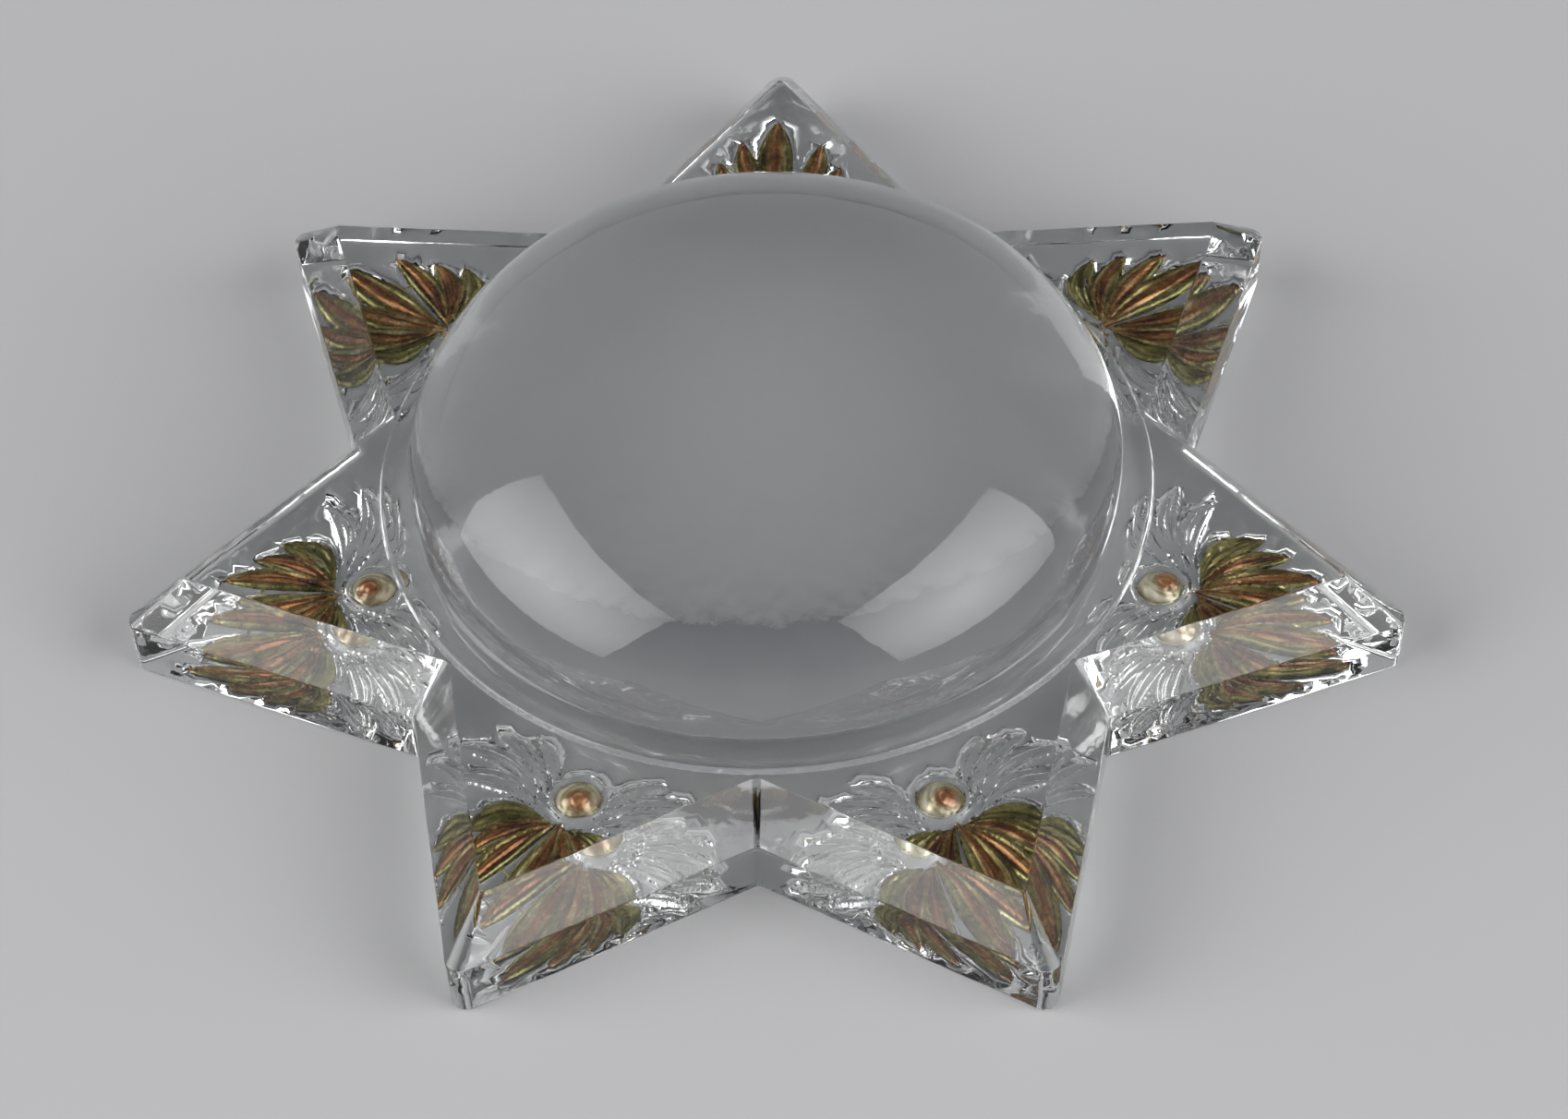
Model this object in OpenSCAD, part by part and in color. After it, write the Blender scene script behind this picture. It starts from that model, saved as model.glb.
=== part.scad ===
// Domed glass star with leaves and berries pressed into its underside.
// Millimetres, +Z up. The origin is the centre of the flat underside.

/* [Star plate] */
// How many points the star has
points = 7; // [5:1:9]
// From the centre to where the two edges of a point would meet
point_reach = 82; // [80.5:0.5:84]
// From the centre to the inner corner between two points
valley_reach = 54; // [52:0.5:58]
// Thickness, from the flat underside to the flat top
plate_t = 14.3; // [12:0.1:18]
// Height of the upright side wall under the bevel
wall_h = 8; // [5:0.1:10]
// Width of the bevel, seen from above
bevel_w = 5; // [2:0.1:6]
// From the centre to the blunt end of each tip
blunt_reach = 80.6; // [79:0.1:80.6]

/* [Collar round the dome] */
// Outer radius of the collar
collar_r = 48.5; // [47:0.1:50]
// Height of the step at the collar's outer edge
collar_step = 0.4; // [0.2:0.1:1]
// Height of the collar's inner edge above the flat top
collar_rise = 1.5; // [1:0.1:2]
// Radius of the hollow run round the collar's top
collar_hollow_r = 7; // [5:0.5:12]

/* [Dome] */
// Depth of the round seat that the dome stands in
seat_depth = 0.5; // [0.3:0.1:1]
// Radius of the upright rim that stands in the collar
dome_rim_r = 43.8; // [40:0.1:45]
// Radius of the dome at its widest
dome_r = 44.1; // [40.5:0.1:45.5]
// Height of the widest level above the underside of the star
dome_waist_z = 19.7; // [18:0.1:22]
// Height of the crown above the widest level
dome_rise = 21.9; // [15:0.1:30]

/* [Leaves and berries] */
// From the centre to the stem where the leaves of a point spring
stem_x = 54; // [53:0.5:56]
// Depth of the leaf recesses in the underside
leaf_depth = 1; // [0.6:0.1:1.5]
// Thickness of the coloured fill in a recess
fill_t = 0.6; // [0.3:0.1:0.9]
// From the centre to the middle of a berry
berry_x = 50; // [49:0.5:51]
// Width of a berry
berry_w = 5.4; // [4:0.1:6]
// Depth of a berry's recess
berry_depth = 1.8; // [1:0.1:2.2]
// How far the berry's fill stays above the surface that the star rests on
berry_lift = 0.3; // [0.2:0.1:0.5]

/* [Hidden] */
$fn = 96;
eps = 0.01;
// How far the collar's section runs into the glass round it
collar_root = 1;

step = 360 / points;
half_step = step / 2;

// All the edges of the star lie at one distance from the centre line
valley_x = valley_reach * cos(half_step);
valley_y = valley_reach * sin(half_step);
tip_half = atan2(valley_y, point_reach - valley_x);
edge_distance = point_reach * sin(tip_half);
bevel_slope = bevel_w / (plate_t - wall_h);
// How far the bevelled shape runs past the flat top and the flat underside
bevel_overrun = 1;

// A leaf's lobes: [angle from the outward axis, start, end, width]
amber_lobes = [[0, 0, 18.6, 5.4], [25, 1.6, 13.5, 4], [-25, 1.6, 13.5, 4]];
olive_lobes = [[58, 4.5, 11.5, 3], [-58, 4.5, 11.5, 3]];
clear_lobes = [[84, 3.6, 11.5, 2.8], [-84, 3.6, 11.5, 2.8], [112, 3.6, 14.6, 3.2], [-112, 3.6, 14.6, 3.2]];

berry_sphere_r = (pow(berry_w / 2, 2) + pow(berry_depth, 2)) / (2 * berry_depth);

function numbered(name) = [for (i = [1 : points]) str(name, "_", i)];

// Puts its children on point number i; number 1 is on the +Y axis
module on_point(i) rotate(90 + (i - 1) * step) children();

// How large the star is at a height, when the bevel runs on up and down
function bevel_scale(z) = 1 - (z - wall_h) * bevel_slope / edge_distance;

module star_outline() {
    polygon([
        for (i = [0 : points - 1]) each [
            point_reach * [cos(90 + i * step), sin(90 + i * step)],
            valley_reach * [cos(90 + i * step + half_step), sin(90 + i * step + half_step)]
        ]
    ]);
}

// The star's upright walls, with blunt tips
module walled_star() {
    linear_extrude(plate_t)
        intersection() {
            star_outline();
            circle(r = blunt_reach);
        }
}

// The star narrowing upward at the slope of the bevel
module bevelled_star() {
    low = bevel_scale(-bevel_overrun);
    high = bevel_scale(plate_t + bevel_overrun);
    translate([0, 0, -bevel_overrun])
        linear_extrude(plate_t + 2 * bevel_overrun, scale = high / low)
            scale(low) star_outline();
}

// The collar's section, from the dome's rim out to the step
module collar_section() {
    inner = [dome_rim_r, plate_t + collar_rise];
    outer = [collar_r, plate_t + collar_step];
    chord = norm(outer - inner);
    sag_side = sqrt(pow(collar_hollow_r, 2) - pow(chord / 2, 2));
    across = (outer - inner) / chord;
    hollow = (inner + outer) / 2 + sag_side * [-across[1], across[0]];
    difference() {
        polygon([
            [dome_rim_r - collar_root, plate_t - collar_root],
            [dome_rim_r - collar_root, inner[1]], inner, outer,
            [collar_r, plate_t - collar_root]
        ]);
        translate(hollow) circle(r = collar_hollow_r);
    }
}

// A pointed lobe bounded by two arcs, on a line through the stem
module lobe(shape) {
    len = shape[2] - shape[1];
    wide = shape[3];
    arc_r = (len * len + wide * wide) / (4 * wide);
    rotate(shape[0])
        translate([shape[1] + len / 2, 0])
            intersection() {
                translate([0, arc_r - wide / 2]) circle(r = arc_r);
                translate([0, wide / 2 - arc_r]) circle(r = arc_r);
            }
}

module leaf_outline(lobes) {
    translate([stem_x, 0])
        for (shape = lobes) lobe(shape);
}

module leaf_recess(lobes) {
    translate([0, 0, -eps])
        linear_extrude(leaf_depth + eps) leaf_outline(lobes);
}

module leaf_fill(lobes) {
    translate([0, 0, leaf_depth - fill_t])
        linear_extrude(fill_t) leaf_outline(lobes);
}

module berry_ball(r) {
    translate([berry_x, 0, berry_depth - berry_sphere_r]) sphere(r = r);
}

module star_plate() {
    color("gainsboro")
        difference() {
            union() {
                intersection() {
                    walled_star();
                    bevelled_star();
                }
                rotate_extrude() collar_section();
            }
            translate([0, 0, plate_t - seat_depth]) cylinder(r = dome_rim_r, h = plate_t);
            for (i = [1 : points]) on_point(i) {
                leaf_recess(amber_lobes);
                leaf_recess(olive_lobes);
                leaf_recess(clear_lobes);
                berry_ball(berry_sphere_r);
            }
        }
}

// The upright rim and the swelling crown, as half of the dome's section
module dome_section() {
    foot_z = plate_t - seat_depth;
    intersection() {
        union() {
            translate([0, foot_z]) square([dome_rim_r, dome_waist_z - foot_z]);
            translate([0, dome_waist_z]) scale([1, dome_rise / dome_r]) circle(r = dome_r);
        }
        translate([0, foot_z]) square([dome_r, dome_waist_z + dome_rise]);
    }
}

module dome() {
    color("lightblue") rotate_extrude() dome_section();
}

module amber_leaf(i) {
    color("darkgoldenrod") on_point(i) leaf_fill(amber_lobes);
}

module olive_leaf(i) {
    color("olive") on_point(i) leaf_fill(olive_lobes);
}

module berry(i) {
    color("sienna") on_point(i)
        intersection() {
            difference() {
                berry_ball(berry_sphere_r);
                berry_ball(berry_sphere_r - fill_t);
            }
            translate([berry_x - berry_w, -berry_w, berry_lift])
                cube([2 * berry_w, 2 * berry_w, berry_depth]);
        }
}

star_plate();
dome();
for (i = [1 : points]) {
    amber_leaf(i);
    olive_leaf(i);
    berry(i);
}
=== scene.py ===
"""Glass star with a domed middle and leaves pressed into its underside: the visual model.

Shapes are worked out in millimetres, in the frame of the CAD model, and become metres when a mesh is made.
"""
import math

import bmesh
import bpy
import numpy as np
from mathutils import Matrix, Vector
from mathutils.geometry import delaunay_2d_cdt


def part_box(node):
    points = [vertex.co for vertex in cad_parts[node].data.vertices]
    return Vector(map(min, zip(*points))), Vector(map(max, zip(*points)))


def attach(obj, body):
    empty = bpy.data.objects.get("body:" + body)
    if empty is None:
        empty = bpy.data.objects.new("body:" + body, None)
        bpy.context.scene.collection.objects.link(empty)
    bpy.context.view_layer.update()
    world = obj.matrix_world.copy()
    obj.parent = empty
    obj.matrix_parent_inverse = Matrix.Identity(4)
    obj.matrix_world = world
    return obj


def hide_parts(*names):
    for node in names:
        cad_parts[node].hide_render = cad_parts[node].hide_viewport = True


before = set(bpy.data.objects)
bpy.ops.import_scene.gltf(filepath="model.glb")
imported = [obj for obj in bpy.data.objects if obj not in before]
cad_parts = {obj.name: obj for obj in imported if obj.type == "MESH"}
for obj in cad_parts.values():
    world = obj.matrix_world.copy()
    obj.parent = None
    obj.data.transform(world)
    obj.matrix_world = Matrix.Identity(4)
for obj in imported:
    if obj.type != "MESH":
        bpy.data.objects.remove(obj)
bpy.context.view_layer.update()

MM = 0.001
MERGE = 0.002 * MM

# ---------------------------------------------------------------- sizes, in millimetres

POINTS = 7
POINT_REACH = 82.0
VALLEY_REACH = 54.0
WALL_H = 8.0
BEVEL_W = 5.0
WALL_DRAFT = 0.32
SEAT_DEPTH = 0.5
BOTTOM_INSET = 1.3
TOP_STRIP = 0.35
COLLAR_R = 48.1
COLLAR_LIP_R = 46.9
COLLAR_EDGE_H = 1.05
COLLAR_LIP_H = 0.85
COVE_R = 3.2
COVE_POINTS = 12
LIP_FILLETS = [0.05, 0.45]
SIDE_FILLETS = [0.5, 0.4, 0.25]

DOME_LOW, DOME_HIGH = (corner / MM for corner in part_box("dome"))
DOME_R = DOME_HIGH[0]
DOME_BASE_Z = DOME_LOW[2]
DOME_TOP_Z = DOME_HIGH[2]
PLATE_T = DOME_BASE_Z + SEAT_DEPTH
COLLAR_TOP_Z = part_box("star_plate")[1][2] / MM
RIM_R = 43.8
WAIST_Z = 19.7

STEP = 2 * math.pi / POINTS
HALF_STEP = STEP / 2
TIP_HALF = math.atan2(
    VALLEY_REACH * math.sin(HALF_STEP), POINT_REACH - VALLEY_REACH * math.cos(HALF_STEP)
)
VALLEY_HALF = TIP_HALF + HALF_STEP
EDGE_DISTANCE = POINT_REACH * math.sin(TIP_HALF)

# ---------------------------------------------------------------- outlines and profiles


def filleted(corners, radii, segments=4, support=0.12):
    """The open line through corners, each inner corner rounded.

    A point just outside each end of a rounding keeps the flats between flat when shaded smooth.
    """
    corners = [np.array(c, float) for c in corners]
    line = [corners[0]]
    for before, here, after, radius in zip(corners, corners[1:], corners[2:], radii):
        back = (before - here) / np.linalg.norm(before - here)
        ahead = (after - here) / np.linalg.norm(after - here)
        half = math.acos(float(np.clip(back @ ahead, -1, 1))) / 2
        middle = here + (back + ahead) / np.linalg.norm(back + ahead) * radius / math.sin(half)
        reach = radius / math.tan(half)
        start, end = here + back * reach - middle, here + ahead * reach - middle
        sweep = math.pi - 2 * half
        line.append(middle + start + back * support)
        for k in range(segments + 1):
            share = k / segments
            a, b = math.sin((1 - share) * sweep), math.sin(share * sweep)
            line.append(middle + (a * start + b * end) / math.sin(sweep))
        line.append(middle + end + ahead * support)
    line.append(corners[-1])
    return line


def arc(centre, radius, start, end, count):
    """Evenly spaced spots along an arc."""
    turn = np.linspace(start, end, count)
    return np.stack([centre[0] + radius * np.cos(turn), centre[1] + radius * np.sin(turn)], axis=1)


EDGE_STEPS = 22
CORNER_STEPS = 7


def sector_line(inset):
    """The star's outline over one point, moved inward by inset: valley, edge, tip, edge, valley, around +X.

    Tips grow sharper and valleys rounder as the outline moves inward.
    """
    size = (EDGE_DISTANCE - inset) / EDGE_DISTANCE
    tip_r = max(0.5, 1.95 - 0.3 * inset)
    valley_r = 0.9 + 0.12 * inset
    tip_middle = np.array([POINT_REACH * size - tip_r / math.sin(TIP_HALF), 0.0])
    valley_out = VALLEY_REACH * size + valley_r / math.sin(VALLEY_HALF)
    lower_middle = valley_out * np.array([math.cos(HALF_STEP), -math.sin(HALF_STEP)])
    lean = math.pi / 2 - TIP_HALF
    facing = math.pi - HALF_STEP
    valley_end = facing - (math.pi / 2 - VALLEY_HALF)
    lower = arc(lower_middle, valley_r, facing, valley_end, CORNER_STEPS)
    tip = arc(tip_middle, tip_r, -lean, lean, 2 * CORNER_STEPS)
    along = np.linspace(0, 1, EDGE_STEPS + 1)[1:-1, None]
    edge = lower[-1] + along * (tip[0] - lower[-1])
    half = np.concatenate([lower, edge, tip[:CORNER_STEPS]])
    return np.concatenate([half, half[::-1] * [1, -1]])


WAVER = 0.05
# Each wave: share of the waver, waves round the star, shift with height, shift
WAVES = [(0.5, 57, 0.9, 0.0), (0.3, 101, 0.0, 2.1), (0.2, 29, 0.0, 0.0)]


def waver(angle, z):
    """How far the pressed edges wander from straight, inward, at an angle round the star and a height."""
    waves = [share * np.sin(turns * angle + lift * z + shift) for share, turns, lift, shift in WAVES]
    return WAVER * (1 + sum(waves))


def turned(xy, angle):
    """Flat spots turned about the origin."""
    c, s = math.cos(angle), math.sin(angle)
    return np.stack([xy[:, 0] * c - xy[:, 1] * s, xy[:, 0] * s + xy[:, 1] * c], axis=1)


def point_angle(i):
    """Where point number i lies; number 1 is on the +Y axis."""
    return math.pi / 2 + (i - 1) * STEP


def star_loop(inset):
    """The whole outline, without the doubled point at each valley."""
    line = sector_line(inset)[:-1]
    return np.concatenate([turned(line, point_angle(i)) for i in range(1, POINTS + 1)])


# ---------------------------------------------------------------- leaves and berry of one point

STEM_X = 54.0
BERRY_X = 50.0
BERRY_R = 2.75
BERRY_DEPTH = 1.8
MOAT_R = 3.3
MOAT_HALF = 0.5
MOAT_DEPTH = 0.7

# Each lobe: angle from the point's axis in degrees, start and end from the stem, width, bend, depth
AMBER_LOBES = [
    (1, 0.0, 18.8, 4.9, 0.5, 1.3),
    (19, 0.4, 16.0, 3.5, 1.1, 1.2),
    (-21, 0.4, 15.4, 3.5, -1.2, 1.2),
    (37, 1.0, 13.6, 3.5, 1.6, 1.15),
    (-39, 1.0, 12.8, 3.5, -1.5, 1.15),
]
OLIVE_LOBES = [(56, 1.4, 12.6, 4.0, 1.9, 1.1), (-58, 1.4, 11.8, 4.0, -1.8, 1.1)]
CLEAR_LOBES = [
    (side * angle, start, end, width, side * bend, depth)
    for side in (1, -1)
    for angle, start, end, width, bend, depth in [
        (74, 2.4, 10.8, 2.6, 1.2, 1.1),
        (90, 3.2, 16.2, 3.3, 2.2, 1.35),
        (106, 3.4, 18.2, 3.1, 2.2, 1.3),
        (122, 3.8, 16.6, 2.7, 1.6, 1.15),
        (139, 5.0, 13.8, 2.2, 0.9, 0.95),
    ]
]


def lobe_half_width(s, width):
    """Half of a lobe's width at a share s of its length: widest past its middle, nothing at both ends."""
    return width / 2 * np.sin(np.pi * np.clip(s, 0, 1) ** 1.25) ** 0.8


def lobe_outline(lobe, count=26):
    """The closed outline of a lobe, with its spots closer together at both ends."""
    angle, start, end, width, bend, _ = lobe
    s = (1 - np.cos(np.linspace(0, np.pi, count))) / 2
    middle = 4 * bend * s * (1 - s)
    half = lobe_half_width(s, width)
    x = start + (end - start) * s
    there = np.stack([x, middle - half], axis=1)
    back = np.stack([x, middle + half], axis=1)[::-1][1:-1]
    return turned(np.concatenate([there, back]), math.radians(angle)) + [STEM_X, 0]


def lobe_frame(lobe, xy):
    """Where spots lie in a lobe: s along it, 0 to 1, and t across it, -1 to 1; and which spots lie in it."""
    angle, start, end, width, bend, _ = lobe
    local = turned(xy - [STEM_X, 0], -math.radians(angle))
    s = (local[:, 0] - start) / (end - start)
    inside = (s > 0) & (s < 1)
    s = np.clip(s, 1e-4, 1 - 1e-4)
    t = (local[:, 1] - 4 * bend * s * (1 - s)) / lobe_half_width(s, width)
    return s, np.clip(t, -1, 1), inside & (abs(t) < 1)


RIDGE, RIDGE_AT, RIDGE_W = 0.14, 0.7, 0.16
GROOVE, GROOVE_AT, GROOVE_W = 0.34, 0.38, 0.17
VEIN, VEINS_ALONG, VEINS_ACROSS = 0.05, 2.5, 1.4
LEAST = 0.03


def lobe_depth(lobe, xy):
    """How deep a lobe cuts into the underside: least at its outline, with ridges and grooves along it."""
    s, t, inside = lobe_frame(lobe, xy)
    body = (1 - t**2) ** 0.4 * np.minimum(1, 0.45 + 2.2 * s) * (1.05 - 0.35 * s)
    ridge = RIDGE * np.exp(-(((abs(t) - RIDGE_AT) / RIDGE_W) ** 2))
    groove = GROOVE * np.exp(-(((abs(t) - GROOVE_AT) / GROOVE_W) ** 2))
    veins = VEIN * np.cos(2 * np.pi * (VEINS_ALONG * s - VEINS_ACROSS * abs(t))) * (1 - t**2)
    return np.where(inside, lobe[-1] * np.maximum(body + ridge - groove + veins, LEAST), 0)


def berry_depth(xy):
    """How deep the berry cuts into the underside, as part of a ball, with the moat round it."""
    off = np.hypot(xy[:, 0] - BERRY_X, xy[:, 1])
    ball = (BERRY_R**2 + BERRY_DEPTH**2) / (2 * BERRY_DEPTH)
    rise = np.sqrt(np.maximum(ball**2 - off**2, 0)) - (ball - BERRY_DEPTH)
    moat = MOAT_DEPTH * np.sqrt(np.maximum(1 - ((off - MOAT_R) / MOAT_HALF) ** 2, 0))
    return np.where(off < BERRY_R, rise, moat)


def relief(xy):
    """How deep the underside is at each spot: the deepest of the berry, its moat and the lobes."""
    depth = berry_depth(xy)
    for lobe in AMBER_LOBES + OLIVE_LOBES + CLEAR_LOBES:
        depth = np.maximum(depth, lobe_depth(lobe, xy))
    return depth


# ---------------------------------------------------------------- meshes


def mesh_object(name, vertices, faces, material_index=None, merge=True):
    """A smooth-shaded object in the scene, from a mesh in millimetres, with its normals outward."""
    mesh = bpy.data.meshes.new(name)
    mesh.from_pydata([tuple(v) for v in np.asarray(vertices) * MM], [], faces)
    if material_index is not None:
        mesh.polygons.foreach_set("material_index", material_index)
    work = bmesh.new()
    work.from_mesh(mesh)
    if merge:
        bmesh.ops.remove_doubles(work, verts=work.verts, dist=MERGE)
    bmesh.ops.recalc_face_normals(work, faces=work.faces)
    work.to_mesh(mesh)
    work.free()
    mesh.polygons.foreach_set("use_smooth", [True] * len(mesh.polygons))
    piece = bpy.data.objects.new(name, mesh)
    bpy.context.collection.objects.link(piece)
    return piece


INNER_R = 30.0
FINE = 0.32
COARSE = 2.4
SEAM_POINTS = 16
HUB_POINTS = 17
FINE_LOW, FINE_HIGH = (38, -18), (74, 18)
SECTOR_HALF_H = 30


def honeycomb(spacing, low, high):
    """Evenly spaced spots in rows, every other row moved by half a space."""
    grid = []
    for row, y in enumerate(np.arange(low[1], high[1], spacing * math.sqrt(3) / 2)):
        x = np.arange(low[0] + (row % 2) * spacing / 2, high[0], spacing)
        grid.append(np.column_stack([x, np.full(len(x), y)]))
    return np.concatenate(grid)


BLOCK = 2000


def clear_of(points, others, gap):
    """The points that keep a gap from all of the others."""
    keep = []
    for block in np.array_split(points, len(points) // BLOCK + 1):
        off = np.hypot(block[:, None, 0] - others[None, :, 0], block[:, None, 1] - others[None, :, 1])
        keep.append(block[off.min(axis=1) > gap])
    return np.concatenate(keep)


def seam_side(xy):
    """How far a spot lies inside the two seams of the sector round +X."""
    return xy[:, 0] * math.sin(HALF_STEP) - abs(xy[:, 1]) * math.cos(HALF_STEP)


def underside_sector():
    """The underside of one point, around +X: vertices, triangles, and the shapes that hold each triangle."""
    rim = sector_line(BOTTOM_INSET)
    seam_r = np.linspace(INNER_R, np.hypot(*rim[0]), SEAM_POINTS)[1:-1]
    low_seam = seam_r[:, None] * [math.cos(HALF_STEP), -math.sin(HALF_STEP)]
    hub = arc((0, 0), INNER_R, HALF_STEP, -HALF_STEP, HUB_POINTS)
    border = np.concatenate([rim, low_seam[::-1] * [1, -1], hub, low_seam])
    berry = arc((BERRY_X, 0), BERRY_R, 0, 2 * math.pi, 41)[:-1]
    moat = arc((BERRY_X, 0), MOAT_R + MOAT_HALF, 0, 2 * math.pi, 49)[:-1]
    lobes = [lobe_outline(lobe) for lobe in AMBER_LOBES + OLIVE_LOBES + CLEAR_LOBES]
    shapes = [border, berry, moat] + lobes
    outlines = np.concatenate(shapes)

    fine = honeycomb(FINE, FINE_LOW, FINE_HIGH)
    fine = fine[relief(fine) > 0]
    coarse = honeycomb(COARSE, (INNER_R, -SECTOR_HALF_H), (POINT_REACH, SECTOR_HALF_H))
    coarse = coarse[(relief(coarse) == 0) & (np.hypot(*coarse.T) > INNER_R + 1) & (seam_side(coarse) > 1)]
    wall = (POINT_REACH - coarse[:, 0]) * math.sin(TIP_HALF) - abs(coarse[:, 1]) * math.cos(TIP_HALF)
    coarse = coarse[wall > BOTTOM_INSET + 1]
    loose = np.concatenate([clear_of(fine, outlines, 0.45 * FINE), clear_of(coarse, outlines, 0.9)])

    faces, first = [], 0
    for shape in shapes:
        faces.append(list(range(first, first + len(shape))))
        first += len(shape)
    spots = [Vector(p) for p in np.concatenate([outlines, loose])]
    out, _, triangles, _, _, owners = delaunay_2d_cdt(spots, [], faces, 1, 1e-5)
    xy = np.array([tuple(p) for p in out])
    return np.column_stack([xy, relief(xy)]), triangles, owners


# Where the deep orange of a berry is deepest, from its middle. Away from there the berry pales to a cream
# rim, which is a painted highlight. Then comes the berry's number, after those of the lobes.
BLUSH_AND_HIGHLIGHT_CENTRE = (0.7, 0.5)
BERRY_WHICH = 9.0


def leaf_grain(xy):
    """For each spot the lobe that cuts deepest there, as (across, along, which). The streaks follow it."""
    count = len(xy)
    best = np.zeros(count)
    grain = np.zeros((count, 3))
    for which, lobe in enumerate(AMBER_LOBES + OLIVE_LOBES):
        s, t, inside = lobe_frame(lobe, xy)
        depth = np.where(inside, lobe_depth(lobe, xy), 0)
        wins = depth > best
        grain[wins] = np.column_stack([t, s, np.full(count, which)])[wins]
        best = np.maximum(best, depth)
    berry = np.hypot(xy[:, 0] - BERRY_X, xy[:, 1]) < 1.01 * BERRY_R
    # Across the berry: the distance from its deep orange spot. The pale cream rim far from that spot is a
    # painted highlight.
    blush_to_highlight = np.hypot(xy[:, 0] - BERRY_X - BLUSH_AND_HIGHLIGHT_CENTRE[0], xy[:, 1] - BLUSH_AND_HIGHLIGHT_CENTRE[1]) / BERRY_R
    grain[berry] = np.column_stack([blush_to_highlight, xy[:, 1] / BERRY_R, np.full(count, BERRY_WHICH)])[berry]
    return grain


def spun(xyz, angle):
    """Spots in space turned about the Z axis."""
    return np.column_stack([turned(xyz[:, :2], angle), xyz[:, 2]])


SECTOR, SECTOR_FACES, SECTOR_OWNERS = underside_sector()
SECTOR_GRAIN = leaf_grain(SECTOR[:, :2])

SURFACE, BONDED = 0, 1


def ring_of(around, r, z):
    """A level ring of spots at the given angles."""
    return np.column_stack([r * np.cos(around), r * np.sin(around), np.full(len(around), z)])


def collar_profile():
    """(Radius, height) of the collar, from the flat top over its lip and up the cove to the dome."""
    outer = np.array([COLLAR_LIP_R, PLATE_T + COLLAR_LIP_H])
    inner = np.array([RIM_R, COLLAR_TOP_Z])
    lip = [
        (COLLAR_R + 0.1, PLATE_T), (COLLAR_R, PLATE_T),
        (COLLAR_R - 0.3, PLATE_T + COLLAR_EDGE_H), tuple(outer),
    ]
    chord = inner - outer
    length = np.linalg.norm(chord)
    sag = math.sqrt(COVE_R**2 - (length / 2) ** 2)
    middle = (inner + outer) / 2 - sag * np.array([-chord[1], chord[0]]) / length
    start = math.atan2(*(outer - middle)[::-1])
    end = math.atan2(*(inner - middle)[::-1])
    cove = arc(middle, COVE_R, start, end, COVE_POINTS)
    return filleted(lip, LIP_FILLETS, segments=5, support=0.02) + list(cove[1:])


def star_body():
    """The glass of the star: outline swept up the wall and bevel, collar, dome's seat, and underside."""
    side = filleted([
        (BOTTOM_INSET, 0), (WALL_DRAFT, 0), (0, WALL_H), (BEVEL_W, PLATE_T), (BEVEL_W + TOP_STRIP, PLATE_T),
    ], SIDE_FILLETS, support=0.1)
    rows = []
    for row, (inset, z) in enumerate(side):
        loop = star_loop(inset)
        if 0 < row < len(side) - 2:
            loop *= (1 - waver(np.arctan2(loop[:, 1], loop[:, 0]), z) / np.hypot(*loop.T))[:, None]
        rows.append(np.column_stack([loop, np.full(len(loop), z)]))
    around = np.arctan2(rows[-1][:, 1], rows[-1][:, 0])
    rows += [ring_of(around, r, z) for r, z in collar_profile()]
    rows.append(ring_of(around, RIM_R, DOME_BASE_Z))
    count = len(around)
    faces, index = [], []
    for row in range(len(rows) - 1):
        low, high = row * count, (row + 1) * count
        for k in range(count):
            n = (k + 1) % count
            faces.append([low + k, low + n, high + n, high + k])
            index.append(BONDED if row == len(rows) - 2 else SURFACE)
    seat_middle = len(rows) * count
    for k in range(count):
        faces.append([seat_middle - count + k, seat_middle - count + (k + 1) % count, seat_middle])
        index.append(BONDED)
    parts = rows + [np.array([[0, 0, DOME_BASE_Z]])]
    first = seat_middle + 1
    for i in range(1, POINTS + 1):
        parts.append(spun(SECTOR, point_angle(i)))
        faces += [[first + v for v in f] for f in SECTOR_FACES]
        index += [SURFACE] * len(SECTOR_FACES)
        first += len(SECTOR)
    hub = arc((0, 0), INNER_R, -HALF_STEP, HALF_STEP, HUB_POINTS)[:-1]
    ring = np.concatenate([turned(hub, point_angle(i)) for i in range(1, POINTS + 1)])
    parts += [np.column_stack([ring, np.zeros(len(ring))]), np.zeros((1, 3))]
    for k in range(len(ring)):
        faces.append([first + (k + 1) % len(ring), first + k, first + len(ring)])
        index.append(SURFACE)
    return mesh_object("star_body", np.concatenate(parts), faces, index)


TURN_STEPS = 192


def revolved(name, profile, bonded_rows):
    """A closed body turned about the Z axis from a profile of (radius, height), both ends on the axis."""
    count = TURN_STEPS
    turn = np.arange(count) * 2 * np.pi / count
    vertices = [[0, 0, profile[0][1]]]
    for r, z in profile[1:-1]:
        vertices += [[r * math.cos(a), r * math.sin(a), z] for a in turn]
    vertices.append([0, 0, profile[-1][1]])
    rings = len(profile) - 2
    faces, index = [], []
    for k in range(count):
        n = (k + 1) % count
        faces.append([0, 1 + n, 1 + k])
        index.append(BONDED)
        for ring in range(rings - 1):
            a, b = 1 + ring * count, 1 + (ring + 1) * count
            faces.append([a + k, a + n, b + n, b + k])
            index.append(BONDED if ring < bonded_rows else SURFACE)
        last = 1 + (rings - 1) * count
        faces.append([last + k, last + n, len(vertices) - 1])
        index.append(SURFACE)
    return mesh_object(name, vertices, faces, index)


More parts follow.
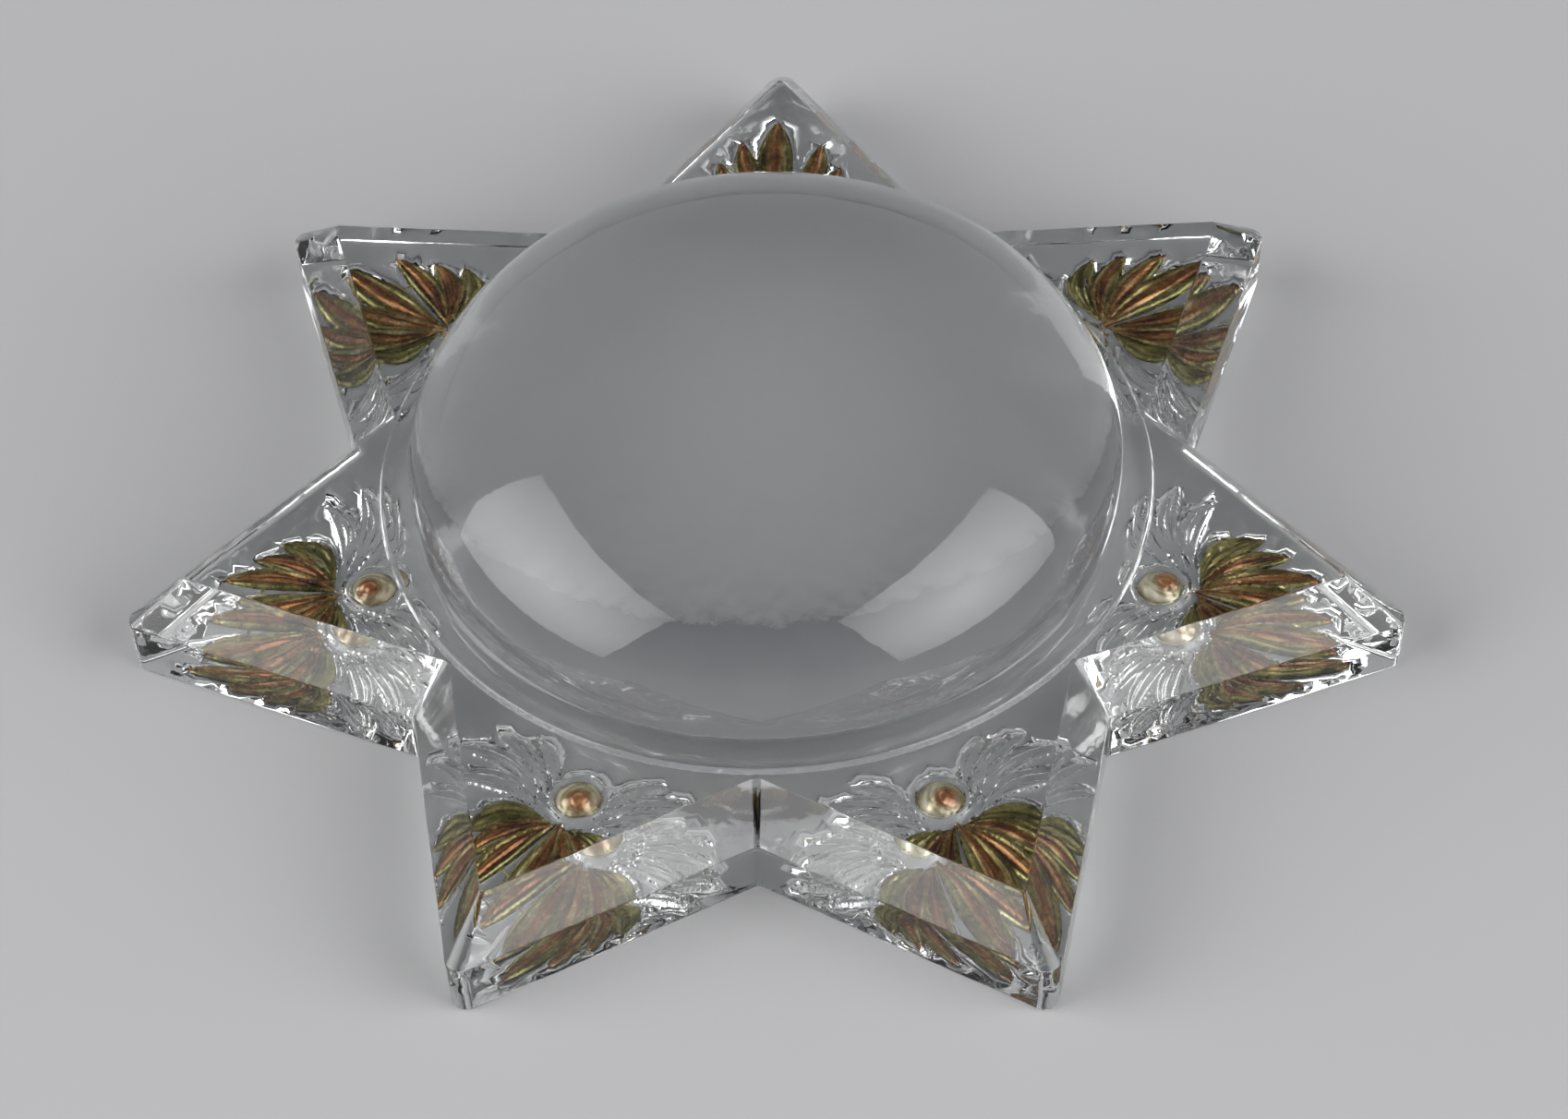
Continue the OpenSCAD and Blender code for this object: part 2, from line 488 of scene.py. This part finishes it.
def dome_body():
    """The solid dome: an upright rim that swells to the waist, and a spheroid crown."""
    crown_h = DOME_TOP_Z - WAIST_Z
    lower_h = (WAIST_Z - COLLAR_TOP_Z) / math.sqrt(1 - (RIM_R / DOME_R) ** 2)
    profile = [(0, DOME_BASE_Z), (RIM_R, DOME_BASE_Z), (RIM_R, COLLAR_TOP_Z)]
    for z in np.linspace(COLLAR_TOP_Z, WAIST_Z, 7)[1:-1]:
        profile.append((DOME_R * math.sqrt(1 - ((WAIST_Z - z) / lower_h) ** 2), z))
    for a in np.linspace(0, math.pi / 2, 60)[:-1]:
        profile.append((DOME_R * math.cos(a), WAIST_Z + crown_h * math.sin(a)))
    profile.append((0, DOME_TOP_Z))
    return revolved("dome_body", profile, 1)


OVERLAP = 0.06
COAT_SHARE = 0.62


def stain(name, number, shapes, skip=()):
    """The coloured coat on some of a point's shapes. It follows the relief, OVERLAP into the glass."""
    chosen = []
    for face, owners in zip(SECTOR_FACES, SECTOR_OWNERS):
        if set(owners) & set(shapes) and not set(owners) & set(skip):
            chosen.append(face)
    used = sorted({v for f in chosen for v in f})
    place = {v: k for k, v in enumerate(used)}
    upper = SECTOR[used].copy()
    upper[:, 2] += OVERLAP
    lower = upper.copy()
    lower[:, 2] *= COAT_SHARE
    count = len(used)
    top = [[place[v] for v in f] for f in chosen]
    faces = top + [[count + v for v in reversed(f)] for f in top]
    edges = {}
    for f in top:
        for a, b in zip(f, f[1:] + f[:1]):
            edges[(a, b)] = edges.get((a, b), 0) + 1
    for a, b in edges:
        if (b, a) not in edges:
            faces.append([b, a, count + a, count + b])
    both = np.concatenate([upper, lower])
    piece = mesh_object(f"{name}_{number}", spun(both, point_angle(number)), faces, merge=False)
    grain = piece.data.attributes.new("grain", "FLOAT_VECTOR", "POINT")
    grain.data.foreach_set("vector", np.tile(SECTOR_GRAIN[used], (2, 1)).ravel())
    return piece


# ---------------------------------------------------------------- materials


def node_material(name):
    """A material with an empty node tree."""
    material = bpy.data.materials.new(name)
    material.use_nodes = True
    tree = material.node_tree
    tree.nodes.clear()
    return material, tree


def added(tree, kind, **settings):
    """A new node, with each setting put on the socket or the property of that name."""
    node = tree.nodes.new(kind)
    for key, value in settings.items():
        if key in node.inputs:
            node.inputs[key].default_value = value
        else:
            setattr(node, key, value)
    return node


def noise(tree, where, scale, detail):
    """Noise in the object's own coordinates, which are metres."""
    node = added(tree, "ShaderNodeTexNoise", Scale=scale, Detail=detail)
    tree.links.new(where.outputs["Object"], node.inputs["Vector"])
    return node


def ramp(tree, source, stops):
    """Colours along a value, from stops of (position, colour)."""
    node = tree.nodes.new("ShaderNodeValToRGB")
    elements = node.color_ramp.elements
    while len(elements) < len(stops):
        elements.new(0.5)
    for element, (position, colour) in zip(elements, stops):
        element.position = position
        element.color = (*colour, 1)
    tree.links.new(source, node.inputs["Fac"])
    return node


def mapped(tree, source, low, high, to_low, to_high):
    """A value moved from one range to another, and kept in it."""
    node = added(tree, "ShaderNodeMapRange")
    for socket, value in zip(("From Min", "From Max", "To Min", "To Max"), (low, high, to_low, to_high)):
        node.inputs[socket].default_value = value
    tree.links.new(source, node.inputs["Value"])
    return node


CHILL_HEIGHT = 0.000003


def finished(tree, shader):
    """The shader's result as the surface of the material."""
    out = tree.nodes.new("ShaderNodeOutputMaterial")
    tree.links.new(shader.outputs["BSDF"], out.inputs["Surface"])


def glass(name, ripple_scale, ripple_height):
    """Clear glass with faint ripples, fine chill marks and smudges."""
    material, tree = node_material(name)
    where = tree.nodes.new("ShaderNodeTexCoord")
    shader = added(tree, "ShaderNodeBsdfPrincipled")
    shader.inputs["Base Color"].default_value = (0.95, 0.965, 0.96, 1)
    shader.inputs["Transmission Weight"].default_value = 1.0
    shader.inputs["IOR"].default_value = 1.5
    smudge = noise(tree, where, 60, 5)
    rough = mapped(tree, smudge.outputs["Fac"], 0.5, 0.8, 0.0, 0.09)
    tree.links.new(rough.outputs["Result"], shader.inputs["Roughness"])
    ripple = noise(tree, where, ripple_scale, 2)
    wave = added(tree, "ShaderNodeBump", Strength=1.0, Distance=ripple_height)
    tree.links.new(ripple.outputs["Fac"], wave.inputs["Height"])
    chill = noise(tree, where, 1100, 3)
    bump = added(tree, "ShaderNodeBump", Strength=1.0, Distance=CHILL_HEIGHT)
    tree.links.new(chill.outputs["Fac"], bump.inputs["Height"])
    tree.links.new(wave.outputs["Normal"], bump.inputs["Normal"])
    tree.links.new(bump.outputs["Normal"], shader.inputs["Normal"])
    finished(tree, shader)
    return material


def bond():
    """Where dome and star are one glass: nothing shows."""
    material, tree = node_material("fused_joint")
    clear = added(tree, "ShaderNodeBsdfTransparent", Color=(1, 1, 1, 1))
    finished(tree, clear)
    return material


def stain_material(name, core, edge, metallic, roughness):
    """Fired stain with a lustre: streaks along each lobe, in core colours within and edge colours outside.
    The streaks are partly the stain's own uneven tone and partly painted light: painted shade at their
    darkest and painted highlights at their palest.
    """
    material, tree = node_material(name)
    where = tree.nodes.new("ShaderNodeTexCoord")
    grain = added(tree, "ShaderNodeAttribute", attribute_name="grain")
    stretch = added(tree, "ShaderNodeVectorMath", operation="MULTIPLY")
    stretch.inputs[1].default_value = (1.7, 0.8, 5.0)
    tree.links.new(grain.outputs["Vector"], stretch.inputs[0])
    streak_and_sheen = added(tree, "ShaderNodeTexNoise", Scale=1.6, Detail=5.0)
    tree.links.new(stretch.outputs["Vector"], streak_and_sheen.inputs["Vector"])
    cloud = noise(tree, where, 300, 5)
    both = added(tree, "ShaderNodeMix", data_type="FLOAT")
    both.inputs[0].default_value = 0.35
    tree.links.new(streak_and_sheen.outputs["Fac"], both.inputs[2])
    tree.links.new(cloud.outputs["Fac"], both.inputs[3])
    # The ramps run from painted shade at the dark end, through the stain's own colours, to painted highlights
    # at the pale cream end.
    inner = ramp(tree, both.outputs[0], core)
    outer = ramp(tree, both.outputs[0], edge)
    split = tree.nodes.new("ShaderNodeSeparateXYZ")
    tree.links.new(grain.outputs["Vector"], split.inputs[0])
    off = added(tree, "ShaderNodeMath", operation="ABSOLUTE")
    tree.links.new(split.outputs["X"], off.inputs[0])
    ragged = added(tree, "ShaderNodeMath", operation="ADD")
    tree.links.new(off.outputs[0], ragged.inputs[0])
    tree.links.new(streak_and_sheen.outputs["Fac"], ragged.inputs[1])
    margin = mapped(tree, ragged.outputs[0], 0.78, 1.12, 0, 1)
    colour = added(tree, "ShaderNodeMix", data_type="RGBA")
    tree.links.new(margin.outputs["Result"], colour.inputs[0])
    tree.links.new(inner.outputs["Color"], colour.inputs[6])
    tree.links.new(outer.outputs["Color"], colour.inputs[7])
    shader = added(tree, "ShaderNodeBsdfPrincipled")
    shader.inputs["Metallic"].default_value = metallic
    tree.links.new(colour.outputs[2], shader.inputs["Base Color"])
    fine = noise(tree, where, 900, 4)
    rough = mapped(tree, fine.outputs["Fac"], 0.3, 0.7, roughness - 0.08, roughness + 0.12)
    tree.links.new(rough.outputs["Result"], shader.inputs["Roughness"])
    bump = added(tree, "ShaderNodeBump", Strength=0.6, Distance=0.00006)
    tree.links.new(fine.outputs["Fac"], bump.inputs["Height"])
    tree.links.new(bump.outputs["Normal"], shader.inputs["Normal"])
    finished(tree, shader)
    return material


# Colours from the darkest spots of the streaks to the lightest. The near-black first stops are painted shade,
# and the pale cream stops at the light end are painted highlights. The colours between them are the stain's
# own.
OLIVE_MARGIN_SHADE_AND_HIGHLIGHT = [
    (0.34, (0.018, 0.016, 0.005)),
    (0.45, (0.11, 0.096, 0.024)),
    (0.56, (0.26, 0.235, 0.075)),
    (0.66, (0.56, 0.51, 0.30)),
]
AMBER_CORE_SHADE_AND_HIGHLIGHT = [
    (0.34, (0.022, 0.009, 0.003)),
    (0.43, (0.14, 0.05, 0.013)),
    (0.53, (0.29, 0.12, 0.033)),
    (0.64, (0.54, 0.38, 0.18)),
]
OLIVE_CORE_AND_PAINTED_SHADE = [
    (0.36, (0.02, 0.017, 0.005)),
    (0.46, (0.10, 0.085, 0.02)),
    (0.58, (0.22, 0.19, 0.05)),
    (0.70, (0.26, 0.13, 0.035)),
]
BERRY_CORE_AND_HIGHLIGHT = [
    (0.34, (0.07, 0.025, 0.01)),
    (0.46, (0.27, 0.10, 0.035)),
    (0.56, (0.46, 0.23, 0.09)),
    (0.68, (0.60, 0.47, 0.30)),
]
# The berry's pale rim: its cream stops are a painted highlight.
BERRY_MARGIN_AND_HIGHLIGHT = [
    (0.34, (0.14, 0.11, 0.055)),
    (0.46, (0.36, 0.30, 0.17)),
    (0.58, (0.66, 0.61, 0.46)),
]

star_glass = glass("pressed_star_glass", 200, 0.00005)
dome_glass = glass("domed_glass", 130, 0.00004)
joint = bond()
amber = stain_material("amber_lustre", AMBER_CORE_SHADE_AND_HIGHLIGHT, OLIVE_MARGIN_SHADE_AND_HIGHLIGHT, 0.55, 0.24)
olive = stain_material("olive_lustre", OLIVE_CORE_AND_PAINTED_SHADE, OLIVE_MARGIN_SHADE_AND_HIGHLIGHT, 0.5, 0.26)
berry_coat = stain_material("berry_lustre", BERRY_CORE_AND_HIGHLIGHT, BERRY_MARGIN_AND_HIGHLIGHT, 0.25, 0.16)

# ---------------------------------------------------------------- the pieces

star = star_body()
star.data.materials.append(star_glass)
star.data.materials.append(joint)
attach(star, "root")
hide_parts("star_plate")

dome = dome_body()
dome.data.materials.append(dome_glass)
dome.data.materials.append(joint)
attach(dome, "root")
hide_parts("dome")

BERRY_SHAPE = 1
AMBER_SHAPES = range(3, 3 + len(AMBER_LOBES))
OLIVE_SHAPES = range(AMBER_SHAPES.stop, AMBER_SHAPES.stop + len(OLIVE_LOBES))
for number in range(1, POINTS + 1):
    for name, shapes, skip, node, material, slot in (
        ("amber_coat", AMBER_SHAPES, [BERRY_SHAPE], "amber_leaf", amber, "amber_stain"),
        ("olive_coat", OLIVE_SHAPES, AMBER_SHAPES, "olive_leaf", olive, "olive_stain"),
        ("berry_coat", [BERRY_SHAPE], [], "berry", berry_coat, "berry_lustre"),
    ):
        piece = stain(name, number, shapes, skip)
        piece.data.materials.append(material)
        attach(piece, "root")
        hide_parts(f"{node}_{number}")

# ---------------------------------------------------------------- stage, lights, camera


FLOOR_HALF = 6.0
FLOOR_GAP = 0.0001
FLOOR_COLOUR = (0.46, 0.46, 0.465, 1)


def floor():
    """A plain pale floor, just under the object."""
    size, gap = FLOOR_HALF, FLOOR_GAP
    mesh = bpy.data.meshes.new("floor")
    corners = [(-size, -size, -gap), (size, -size, -gap), (size, size, -gap), (-size, size, -gap)]
    mesh.from_pydata(corners, [], [(0, 1, 2, 3)])
    piece = bpy.data.objects.new("floor", mesh)
    bpy.context.collection.objects.link(piece)
    material, tree = node_material("floor_paper")
    shader = added(tree, "ShaderNodeBsdfPrincipled", Roughness=0.85)
    shader.inputs["Base Color"].default_value = FLOOR_COLOUR
    shader.inputs["Specular IOR Level"].default_value = 0.0
    finished(tree, shader)
    mesh.materials.append(material)


SOFTBOX_ELEVATION = 26
SOFTBOX_DISTANCE = 2.0
SOFTBOX_WIDTH = 2.27
SOFTBOX_HEIGHT = 1.92
SOFTBOX_POWER = 62
MIDDLE_GLOW = 1.5
CORNER_GLOW = 0.35
CORNER = 0.7


def softbox(name, azimuth):
    """A rectangular softbox that faces the object, brightest in its middle.

    Azimuth 0 is in front, positive to the right.
    """
    a, e = math.radians(azimuth), math.radians(SOFTBOX_ELEVATION)
    lamp = bpy.data.lights.new(name, "AREA")
    lamp.shape = "RECTANGLE"
    lamp.size, lamp.size_y = SOFTBOX_WIDTH, SOFTBOX_HEIGHT
    lamp.energy = SOFTBOX_POWER
    lamp.use_nodes = True
    tree = lamp.node_tree
    spot = tree.nodes.new("ShaderNodeNewGeometry")
    middle = added(tree, "ShaderNodeVectorMath", operation="DISTANCE")
    middle.inputs[1].default_value = (0.5, 0.5, 0)
    tree.links.new(spot.outputs["Parametric"], middle.inputs[0])
    fade = mapped(tree, middle.outputs["Value"], 0, CORNER, MIDDLE_GLOW, CORNER_GLOW)
    tree.links.new(fade.outputs["Result"], tree.nodes["Emission"].inputs["Strength"])
    holder = bpy.data.objects.new(name, lamp)
    place = SOFTBOX_DISTANCE * Vector((math.sin(a) * math.cos(e), -math.cos(a) * math.cos(e), math.sin(e)))
    holder.location = place
    holder.rotation_euler = (-place).to_track_quat("-Z", "Y").to_euler()
    bpy.context.collection.objects.link(holder)


# From the horizon up
SKY = [(0.0, (0.42, 0.42, 0.43)), (0.3, (0.24, 0.24, 0.25)), (0.7, (0.09, 0.09, 0.10))]


def surroundings():
    """Soft light from all round: pale at the horizon, darker overhead."""
    world = bpy.data.worlds.new("studio")
    bpy.context.scene.world = world
    world.use_nodes = True
    tree = world.node_tree
    where = tree.nodes.new("ShaderNodeTexCoord")
    split = tree.nodes.new("ShaderNodeSeparateXYZ")
    tree.links.new(where.outputs["Generated"], split.inputs[0])
    sky = ramp(tree, split.outputs["Z"], SKY)
    tree.links.new(sky.outputs["Color"], tree.nodes["Background"].inputs["Color"])


AZIMUTH = math.radians(3.05)
ELEVATION = math.radians(47.503)
ROLL = math.radians(2.384)
CAMERA_DISTANCE = 0.7027
TARGET = Vector((1.81, -0.41, 0)) * MM


def camera():
    """The viewpoint: in front, raised by 47.5 degrees and a little to the right, with a long lens."""
    level = math.cos(ELEVATION)
    back = Vector((math.sin(AZIMUTH) * level, -math.cos(AZIMUTH) * level, math.sin(ELEVATION)))
    right = Vector((math.cos(AZIMUTH), math.sin(AZIMUTH), 0))
    up = back.cross(right)
    c, s = math.cos(ROLL), math.sin(ROLL)
    across, upward = c * right - s * up, s * right + c * up
    lens = bpy.data.cameras.new("camera")
    lens.sensor_width = 36
    lens.lens = 128
    lens.clip_start = 0.01
    holder = bpy.data.objects.new("camera", lens)
    matrix = Matrix((across, upward, back)).transposed().to_4x4()
    matrix.translation = TARGET + back * CAMERA_DISTANCE
    holder.matrix_world = matrix
    bpy.context.collection.objects.link(holder)
    bpy.context.scene.camera = holder


floor()
softbox("softbox_left", -71)
softbox("softbox_right", 65)
surroundings()
camera()
bpy.context.scene.view_settings.view_transform = "Standard"
